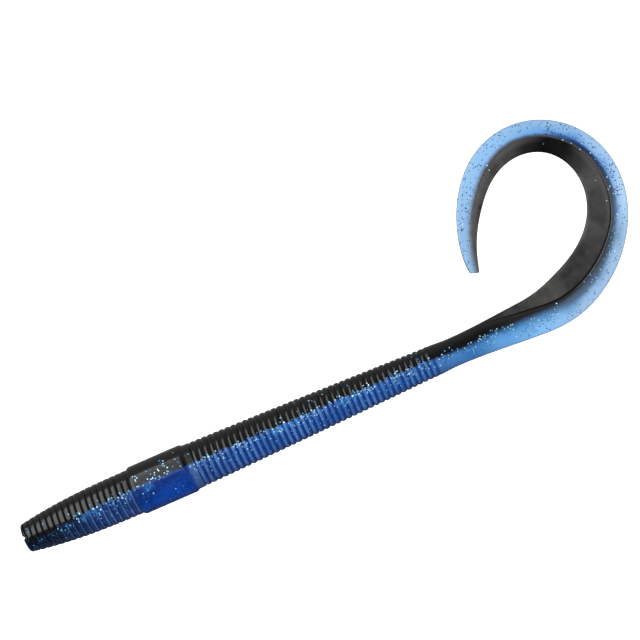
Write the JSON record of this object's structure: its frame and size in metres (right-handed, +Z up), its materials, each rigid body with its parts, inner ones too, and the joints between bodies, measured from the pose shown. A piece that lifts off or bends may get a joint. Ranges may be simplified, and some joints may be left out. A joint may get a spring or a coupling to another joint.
{
  "type": "soft plastic fishing worm",
  "caption": "Ribbed soft plastic worm with a smooth egg sac, a thin wrist and a curled ribbon tail, black over translucent blue with glitter, lying on its side.",
  "frame": {"origin": "on the surface that the worm lies on, under the middle of the box around the whole worm", "axes": "+X from the nose along the straight body towards the tail; +Y towards the black back and the inside of the tail's curl; +Z up, square to the plane of the curl"},
  "size_m": [0.1794, 0.0546, 0.0129],
  "materials": {
    "back_black": "gloss",
    "tail_black": "satin",
    "belly_blue": "gloss",
    "sac_blue": "gloss",
    "tail_blue": "gloss",
    "glitter": "gloss"
  },
  "bodies": {
    "egg_sac": {"egg_sac_back": "back_black", "egg_sac_belly": "sac_blue"},
    "head": {"head_back": "back_black", "head_belly": "belly_blue"},
    "body_1": {"body_1_back": "back_black", "body_1_belly": "belly_blue"},
    "body_2": {"body_2_back": "back_black", "body_2_belly": "belly_blue"},
    "body_3": {"body_3_back": "back_black", "body_3_belly": "belly_blue"},
    "body_4": {"body_4_back": "back_black", "body_4_belly": "belly_blue"},
    "wrist": {"wrist_back": "back_black", "wrist_belly": "belly_blue"},
    "tail_1": {"tail_1_back": "tail_black", "tail_1_belly": "tail_blue"},
    "tail_2": {"tail_2_back": "tail_black", "tail_2_belly": "tail_blue"},
    "tail_3": {"tail_3_back": "tail_black", "tail_3_belly": "tail_blue"},
    "tail_4": {"tail_4_back": "tail_black", "tail_4_belly": "tail_blue"},
    "tail_5": {"tail_5_back": "tail_black", "tail_5_belly": "tail_blue"},
    "tail_6": {"tail_6_back": "tail_black", "tail_6_belly": "tail_blue"},
    "tail_7": {"tail_7_back": "tail_black", "tail_7_belly": "tail_blue"},
    "tail_8": {"tail_8_back": "tail_black", "tail_8_belly": "tail_blue"},
    "tail_9": {"tail_9_back": "tail_black", "tail_9_belly": "tail_blue"}
  },
  "joints": [
    {"name": "neck_sway", "type": "hinge", "parent": "egg_sac", "child": "head", "pos_m": [-0.05863, -0.02084, 0.00647], "axis": [0, 1, 0], "range_deg": [-20, 20], "stiffness_Nm_per_rad": 0.012},
    {"name": "collar_arch", "type": "hinge", "parent": "egg_sac", "child": "body_1", "pos_m": [-0.04283, -0.02084, 0.00647], "axis": [0, 0, 1], "range_deg": [-25, 25], "stiffness_Nm_per_rad": 0.012},
    {"name": "body_sway_1", "type": "hinge", "parent": "body_1", "child": "body_2", "pos_m": [-0.02573, -0.02084, 0.00578], "axis": [0, 1, 0], "range_deg": [-25, 25], "stiffness_Nm_per_rad": 0.009},
    {"name": "body_arch_2", "type": "hinge", "parent": "body_2", "child": "body_3", "pos_m": [-0.00863, -0.02084, 0.0052], "axis": [0, 0, 1], "range_deg": [-25, 25], "stiffness_Nm_per_rad": 0.0065},
    {"name": "body_sway_3", "type": "hinge", "parent": "body_3", "child": "body_4", "pos_m": [0.00847, -0.02084, 0.00466], "axis": [0, 1, 0], "range_deg": [-25, 25], "stiffness_Nm_per_rad": 0.0045},
    {"name": "waist_arch", "type": "hinge", "parent": "body_4", "child": "wrist", "pos_m": [0.02557, -0.02084, 0.0041], "axis": [0, 0, 1], "range_deg": [-25, 25], "stiffness_Nm_per_rad": 0.003},
    {"name": "tail_wag", "type": "hinge", "parent": "wrist", "child": "tail_1", "pos_m": [0.03907, -0.02084, 0.00328], "axis": [0, 1, 0], "range_deg": [-35, 35], "stiffness_Nm_per_rad": 0.0012},
    {"name": "tail_uncurl", "type": "hinge", "parent": "tail_1", "child": "tail_2", "pos_m": [0.06363, -0.01936, 0.00176], "axis": [0, 0, -1], "range_deg": [-4, 33], "stiffness_Nm_per_rad": 0.004},
    {"name": "tail_uncurl_2", "type": "hinge", "parent": "tail_2", "child": "tail_3", "pos_m": [0.07911, -0.0093, 0.00153], "axis": [0, 0, -1], "range_deg": [-4, 33], "stiffness_Nm_per_rad": 0.0036},
    {"name": "tail_uncurl_3", "type": "hinge", "parent": "tail_3", "child": "tail_4", "pos_m": [0.08451, 0.00328, 0.00143], "axis": [0, 0, -1], "range_deg": [-4, 33], "stiffness_Nm_per_rad": 0.003},
    {"name": "tail_uncurl_4", "type": "hinge", "parent": "tail_4", "child": "tail_5", "pos_m": [0.08242, 0.01418, 0.00136], "axis": [0, 0, -1], "range_deg": [-4, 33], "stiffness_Nm_per_rad": 0.0024},
    {"name": "tail_uncurl_5", "type": "hinge", "parent": "tail_5", "child": "tail_6", "pos_m": [0.07543, 0.02124, 0.00127], "axis": [0, 0, -1], "range_deg": [-4, 33], "stiffness_Nm_per_rad": 0.0018},
    {"name": "tail_uncurl_6", "type": "hinge", "parent": "tail_6", "child": "tail_7", "pos_m": [0.06589, 0.02311, 0.00116], "axis": [0, 0, -1], "range_deg": [-4, 33], "stiffness_Nm_per_rad": 0.0014},
    {"name": "tail_uncurl_7", "type": "hinge", "parent": "tail_7", "child": "tail_8", "pos_m": [0.0561, 0.01894, 0.00102], "axis": [0, 0, -1], "range_deg": [-4, 33], "stiffness_Nm_per_rad": 0.001},
    {"name": "tail_uncurl_8", "type": "hinge", "parent": "tail_8", "child": "tail_9", "pos_m": [0.04667, 0.00413, 0.00076], "axis": [0, 0, -1], "range_deg": [-4, 33], "stiffness_Nm_per_rad": 0.0004}
  ],
  "couplings": [
    {"joint": "tail_uncurl_2", "follows": "tail_uncurl", "ratio": 1},
    {"joint": "tail_uncurl_3", "follows": "tail_uncurl", "ratio": 1},
    {"joint": "tail_uncurl_4", "follows": "tail_uncurl", "ratio": 1},
    {"joint": "tail_uncurl_5", "follows": "tail_uncurl", "ratio": 1},
    {"joint": "tail_uncurl_6", "follows": "tail_uncurl", "ratio": 1},
    {"joint": "tail_uncurl_7", "follows": "tail_uncurl", "ratio": 1},
    {"joint": "tail_uncurl_8", "follows": "tail_uncurl", "ratio": 1}
  ]
}
